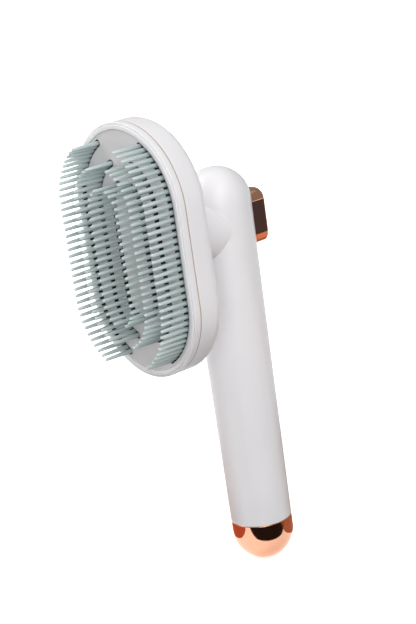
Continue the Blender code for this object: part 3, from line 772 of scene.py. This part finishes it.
def tooth_profile():
    """(radius, depth) pairs of one tooth from its root to its rounded tip."""
    end = TOOTH_TIP - TOOTH_END_RADIUS
    pairs = [(TOOTH_ROOT_RADIUS, COMB_BASE_FRONT - TOOTH_SUNK)]
    for share in (0.35, 0.6, 0.8, 0.92, 1.0):
        radius = TOOTH_ROOT_RADIUS + (TOOTH_END_RADIUS - TOOTH_ROOT_RADIUS) * share
        pairs.append((radius, COMB_BASE_FRONT + (end - COMB_BASE_FRONT) * share))
    for step in range(1, TIP_RINGS + 1):
        angle = TIP_END * step / TIP_RINGS
        pairs.append((TOOTH_END_RADIUS * math.cos(angle), end + TOOTH_END_RADIUS * math.sin(angle)))
    return pairs


def add_tooth(mesh, x, z, chance):
    """One tooth with a slight lean, as a closed body let into the base strip."""
    lean_x = chance.uniform(-1.0, 1.0) * TOOTH_LEAN
    lean_z = chance.uniform(-1.0, 1.0) * TOOTH_LEAN
    rings = []
    for radius, depth in tooth_profile():
        share = max((depth - COMB_BASE_FRONT) / (TOOTH_TIP - COMB_BASE_FRONT), 0.0) ** 2
        centre_x = x + lean_x * share
        centre_z = z + lean_z * share
        outline = [(centre_x + across, centre_z + up) for across, up in circle(radius, TOOTH_SIDES)]
        rings.append(facing_y(outline, depth))
    add_body(mesh, rings)


def add_base(mesh, radius, count, side):
    """The base strip that the teeth of a row stand on."""
    section = (
        (-COMB_BASE_HALF, COMB_BASE_REAR),
        (-COMB_BASE_HALF, COMB_BASE_FRONT),
        (COMB_BASE_HALF, COMB_BASE_FRONT),
        (COMB_BASE_HALF, COMB_BASE_REAR),
    )
    rings = []
    for step in range(count * 2 + 1):
        travel = (step - count) * TOOTH_PITCH / 2
        ring = []
        for sideways, depth in section:
            x, z = row_point(radius, travel, sideways)
            ring.append((side * x, -depth, HEAD_HEIGHT + z))
        rings.append(ring)
    add_body(mesh, rings)


def make_comb_rows(material):
    """Three rows of teeth on each side, each row one piece."""
    chance = random.Random(7)
    for label, radius, count in COMB_ROWS:
        for word, side in (("left", -1), ("right", 1)):
            mesh = bmesh.new()
            add_base(mesh, radius, count, side)
            for number in range(count):
                x, z = row_point(radius, (number - (count - 1) / 2) * TOOTH_PITCH)
                add_tooth(mesh, side * x, z, chance)
            piece = new_piece("teeth_" + label + "_" + word, mesh, material, 50.0)
            stand_for(piece, "comb_" + label + "_" + word, FIXED)


# ---------------------------------------------------------------- button

BUTTON_WALL = 1.0 * MM
BUTTON_INNER_EDGE = 1.0 * MM
BUTTON_INNER_ROUND = 0.5 * MM
BUTTON_FOOT_INNER_ROUND = 0.1 * MM
BUTTON_FOOT_OUTER_ROUND = 0.2 * MM
BUTTON_FACE_ROUND = 1.5 * MM
BUTTON_FACE_INSET = 1.6 * MM
SPRING_TURNS = 6
SPRING_TURN_STEPS = 24
SPRING_WIRE_RADIUS = 0.5 * MM


def make_button(rose):
    """The plated push button, an open shell with softened edges."""
    rear, front = depth_range("button_cap")
    corners = [
        (BUTTON_WALL + BUTTON_INNER_EDGE, rear + BUTTON_WALL, 0),
        (BUTTON_WALL, rear + BUTTON_WALL, BUTTON_INNER_ROUND),
        (BUTTON_WALL, front, BUTTON_FOOT_INNER_ROUND),
        (0.0, front, BUTTON_FOOT_OUTER_ROUND),
        (0.0, rear, BUTTON_FACE_ROUND),
        (BUTTON_FACE_INSET, rear, 0),
    ]
    rings = [facing_y(button_outline(inset), depth) for inset, depth in soften(corners, 8)]
    piece = ring_piece("button", rings, rose)
    stand_for(piece, "button_cap", MOVING)


def make_spring(metal):
    """The return spring: a round wire helix at one length; nothing here shortens it as the button goes in.
    """
    rear, front = depth_range("return_spring")
    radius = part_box("return_spring")[1].x - SPRING_WIRE_RADIUS
    steps = SPRING_TURNS * SPRING_TURN_STEPS
    rings = []
    for step in range(steps + 1):
        angle = 2 * math.pi * SPRING_TURNS * step / steps
        depth = rear + SPRING_WIRE_RADIUS + (front - rear - 2 * SPRING_WIRE_RADIUS) * step / steps
        ring = []
        for across, along in circle(SPRING_WIRE_RADIUS, 10):
            reach = radius + across
            height = HEAD_HEIGHT + reach * math.sin(angle)
            ring.append(Vector((reach * math.cos(angle), along - depth, height)))
        rings.append(ring)
    piece = ring_piece("spring", rings, metal)
    stand_for(piece, "return_spring", FIXED)
    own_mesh(piece)


def dress_hidden_nodes(inner, metal):
    """Better materials for the CAD pieces inside."""
    for name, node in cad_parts.items():
        if "screw" in name or name in ("spring_washer", "retaining_clip"):
            node.data.materials.clear()
            node.data.materials.append(metal)
        elif name in ("comb_retainer", "guide_bush", "push_rod", "button_core", "end_cap_plug"):
            node.data.materials.clear()
            node.data.materials.append(inner)


# ---------------------------------------------------------------- studio

CAMERA_AZIMUTH = math.radians(52.6)
CAMERA_ELEVATION = math.radians(15.2)
CAMERA_ROLL = math.radians(-8.43)
CAMERA_DISTANCE = 0.6825
CAMERA_TARGET = Vector((0.0, -0.020, 0.110))
SENSOR_MM = 36.0
LENS_MM = 101.2442
CAMERA_SHIFT = 0.0258

SOFT_BOX_SIZE = 0.6
SOFT_BOX_DISTANCE = 1.2
SOFT_BOX_TARGET = 0.12
FLOOR_HALF = 6.0
FLOOR_DROP = 0.2 * MM
ROOM_RADIUS = 8.0


def bearing(azimuth, elevation=0.0):
    """A unit direction; azimuth runs from -Y towards +X, and both angles are in radians."""
    level = math.cos(elevation)
    return Vector((math.sin(azimuth) * level, -math.cos(azimuth) * level, math.sin(elevation)))


def make_camera():
    """A long lens, to the right of the teeth and a little above."""
    back = bearing(CAMERA_AZIMUTH, CAMERA_ELEVATION)
    right = Vector((math.cos(CAMERA_AZIMUTH), math.sin(CAMERA_AZIMUTH), 0.0))
    up = back.cross(right)
    tilted_right = right * math.cos(CAMERA_ROLL) + up * math.sin(CAMERA_ROLL)
    tilted_up = up * math.cos(CAMERA_ROLL) - right * math.sin(CAMERA_ROLL)
    data = bpy.data.cameras.new("camera")
    camera = bpy.data.objects.new("camera", data)
    bpy.context.scene.collection.objects.link(camera)
    axes = Matrix((tilted_right, tilted_up, back)).transposed()
    camera.matrix_world = Matrix.Translation(CAMERA_TARGET + back * CAMERA_DISTANCE) @ axes.to_4x4()
    data.sensor_width = SENSOR_MM
    data.lens = LENS_MM
    data.shift_x = CAMERA_SHIFT
    data.clip_start = 0.05
    data.clip_end = 20.0
    bpy.context.scene.camera = camera


def soft_box(name, azimuth, elevation, power, glossy=True):
    """A large square light aimed at the middle of the object; its angles are in degrees."""
    aim = bearing(math.radians(azimuth), math.radians(elevation))
    data = bpy.data.lights.new(name, "AREA")
    data.shape = "SQUARE"
    data.size = SOFT_BOX_SIZE
    data.energy = power
    light = bpy.data.objects.new(name, data)
    bpy.context.scene.collection.objects.link(light)
    light.visible_glossy = glossy
    light.location = Vector((0.0, 0.0, SOFT_BOX_TARGET)) + aim * SOFT_BOX_DISTANCE
    light.rotation_euler = aim.to_track_quat("Z", "Y").to_euler()


def stage_piece(name, mesh, colour, camera_only):
    """Part of the studio that glows evenly and is seen by the camera alone or by reflections alone."""
    surface = Surface(name)
    surface.set("Base Color", (0.0, 0.0, 0.0, 1.0))
    surface.set("Roughness", 1.0)
    surface.set("Specular IOR Level", 0.0)
    surface.set("Emission Color", (*colour, 1.0))
    surface.set("Emission Strength", 1.0)
    piece = new_piece(name, mesh, surface.material)
    piece.visible_camera = camera_only
    piece.visible_glossy = not camera_only
    piece.visible_diffuse = False
    piece.visible_shadow = False
    piece.visible_transmission = False


def card(name, azimuth, distance, radius, colour, height):
    """A level round card that only polished surfaces reflect; azimuth is in degrees."""
    middle = bearing(math.radians(azimuth)) * distance + Vector((0.0, 0.0, height))
    mesh = bmesh.new()
    mesh.faces.new([mesh.verts.new(middle + Vector((x, y, 0.0))) for x, y in circle(radius, 96)])
    stage_piece(name, mesh, colour, False)


def make_floor():
    """Pale paper that glows more with distance, so that it meets the white room without a line."""
    mesh = bmesh.new()
    corners = [(x * FLOOR_HALF, y * FLOOR_HALF, 0.0) for x, y in ((-1, -1), (1, -1), (1, 1), (-1, 1))]
    mesh.faces.new([mesh.verts.new(corner) for corner in corners])
    paper = Surface("paper_floor")
    paper.set("Base Color", (0.93, 0.93, 0.93, 1.0))
    paper.set("Roughness", 0.9)
    paper.set("Emission Color", (1.0, 1.0, 1.0, 1.0))
    reach = paper.nodes.new("ShaderNodeVectorMath")
    reach.operation = "LENGTH"
    paper.links.new(paper.place, reach.inputs[0])
    glow = paper.ramp(reach.outputs["Value"], 0.4, 1.8, 0.55, 1.0)
    paper.links.new(glow, paper.shader.inputs["Emission Strength"])
    paper.bump(paper.noise(900.0, 3.0), 0.02 * MM, 0.3)
    floor = new_piece("floor", mesh, paper.material)
    floor.location.z = -FLOOR_DROP
    floor.visible_diffuse = False


def make_world():
    """A soft sky, brighter overhead than underfoot."""
    world = bpy.data.worlds.new("studio")
    bpy.context.scene.world = world
    world.use_nodes = True
    nodes, links = world.node_tree.nodes, world.node_tree.links
    direction = nodes.new("ShaderNodeTexCoord").outputs["Generated"]
    split = nodes.new("ShaderNodeSeparateXYZ")
    links.new(direction, split.inputs["Vector"])
    height = nodes.new("ShaderNodeMapRange")
    set_range(height, -0.7, 0.9, 0.30, 0.36)
    links.new(split.outputs["Z"], height.inputs["Value"])
    background = nodes["Background"]
    background.inputs["Color"].default_value = (1.0, 1.0, 1.0, 1.0)
    links.new(height.outputs["Result"], background.inputs["Strength"])


def make_studio():
    """A pale floor in a white room, six soft lights, and cards for the plating to reflect."""
    make_floor()
    make_world()
    room = bmesh.new()
    bmesh.ops.create_icosphere(room, subdivisions=3, radius=ROOM_RADIUS)
    stage_piece("white_room", room, (1.0, 1.0, 1.0), True)
    soft_box("key", 52.0, 15.0, 5.9)
    soft_box("key_high", 80.0, 42.0, 4.7)
    soft_box("fill", -60.0, 50.0, 6.0)
    soft_box("fill_front", -42.0, 14.0, 1.3)
    soft_box("fill_low", -98.0, 12.0, 4.5)
    soft_box("back", 222.0, 8.0, 4.5, False)
    card("dark_card", 70.0, 0.30, 0.274, (0.02, 0.013, 0.010), 0.6 * MM)
    card("dark_card_far", 127.0, 1.30, 0.93, (0.085, 0.08, 0.10), 0.3 * MM)
    card("copper_card_left", -58.0, 0.105, 0.076, (0.60, 0.155, 0.08), 0.6 * MM)
    card("copper_card_right", 172.0, 0.115, 0.093, (0.50, 0.22, 0.13), 0.6 * MM)
    card("copper_card_raised", 127.0, 0.105, 0.07, (0.92, 0.47, 0.29), 75.0 * MM)
    card("sky_card", 0.0, 0.0, 1.2, (0.62, 0.62, 0.62), 1500.0 * MM)
    bpy.context.scene.view_settings.view_transform = "Standard"


def main():
    """Make every piece, then the studio."""
    make_camera()
    white = white_plastic()
    rose = rose_gold()
    make_handle(white)
    make_end_cap(rose)
    make_head_shell(white)
    make_trim(trim_plastic())
    make_bezel(white)
    make_plate(plate_plastic(), slot_wall_painted_shade())
    make_comb_rows(comb_plastic())
    make_button(rose)
    metal = steel()
    make_spring(metal)
    dress_hidden_nodes(dark_inner_plastic(), metal)
    make_studio()


main()
